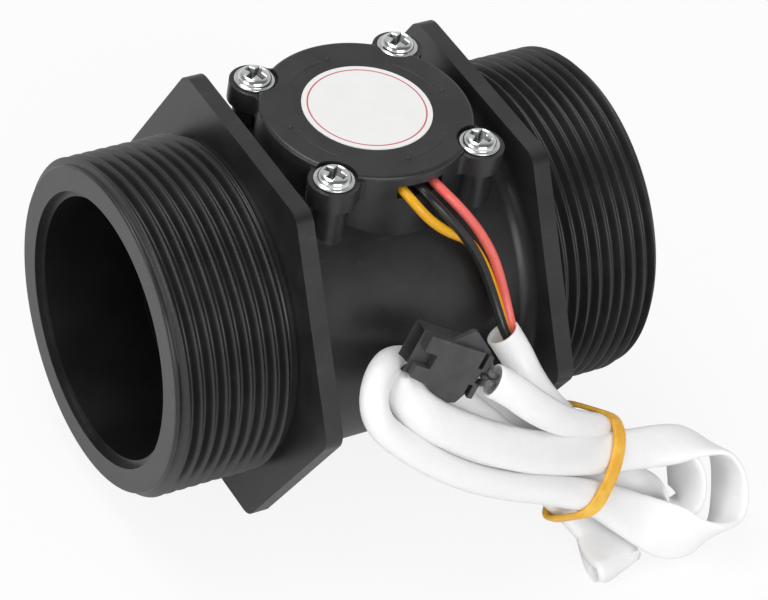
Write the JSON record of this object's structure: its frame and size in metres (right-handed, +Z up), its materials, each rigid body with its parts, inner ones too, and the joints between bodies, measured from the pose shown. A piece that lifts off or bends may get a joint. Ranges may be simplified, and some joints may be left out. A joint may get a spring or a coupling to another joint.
{
  "type": "turbine flow meter",
  "caption": "Plastic turbine flow meter with threaded pipe ends, hexagon flanges, a round screwed cover, and a tied lead that ends in a small connector.",
  "frame": {"origin": "middle of the base that the two flanges stand on, halfway along the pipe", "axes": "+X along the pipe from the inlet to the outlet, +Z up through the cover, -Y towards the side where the wires leave"},
  "size_m": [0.112, 0.1015, 0.0713],
  "materials": {
    "body_black": "moulded glass-filled nylon, soft sheen",
    "cover_black": "moulded glass-filled nylon, soft sheen",
    "label_white": "coated paper label",
    "screw_zinc": "bright zinc plating",
    "support_grey": "moulded acetal",
    "ring_steel": "spring steel",
    "bush_dark": "filled bearing plastic",
    "board_green": "solder-masked laminate",
    "sensor_black": "moulded epoxy case",
    "parts_black": "moulded component cases",
    "resin_black": "cast epoxy",
    "wire_yellow": "wire insulation",
    "wire_black": "wire insulation",
    "wire_red": "wire insulation",
    "sleeve_white": "soft vinyl sleeving",
    "band_amber": "translucent natural rubber",
    "connector_black": "moulded nylon",
    "rotor_blue": "moulded acetal",
    "shaft_steel": "ground stainless steel",
    "magnet_nickel": "nickel plating",
    "pin_tin": "tin plating"
  },
  "bodies": {
    "meter": {"pipe_body": "body_black", "cover": "cover_black", "label_disc": "label_white", "cover_screw_1": "screw_zinc", "cover_screw_2": "screw_zinc", "cover_screw_3": "screw_zinc", "cover_screw_4": "screw_zinc", "inlet_support": "support_grey", "outlet_support": "support_grey", "inlet_retaining_ring": "ring_steel", "outlet_retaining_ring": "ring_steel", "inlet_bush": "bush_dark", "outlet_bush": "bush_dark", "hall_board": "board_green", "hall_sensor": "sensor_black", "board_parts": "parts_black", "potting_resin": "resin_black", "wire_yellow": "wire_yellow", "wire_black": "wire_black", "wire_red": "wire_red", "sleeve_lead": "sleeve_white", "sleeve_hank": "sleeve_white", "sleeve_tail": "sleeve_white", "rubber_band": "band_amber", "connector_housing": "connector_black", "connector_pin_1": "pin_tin", "connector_pin_2": "pin_tin", "connector_pin_3": "pin_tin", "connector_wire_1": "wire_black", "connector_wire_2": "wire_black", "connector_wire_3": "wire_black"},
    "rotor_unit": {"rotor": "rotor_blue", "rotor_magnet_1": "magnet_nickel", "rotor_magnet_2": "magnet_nickel", "rotor_magnet_3": "magnet_nickel", "rotor_magnet_4": "magnet_nickel", "rotor_shaft": "shaft_steel", "inlet_thrust_washer": "bush_dark", "outlet_thrust_washer": "bush_dark"}
  },
  "joints": [
    {"name": "rotor_spin", "type": "hinge", "parent": "meter", "child": "rotor_unit", "pos_m": [0, 0, 0.0343], "axis": [1, 0, 0], "continuous": true}
  ]
}
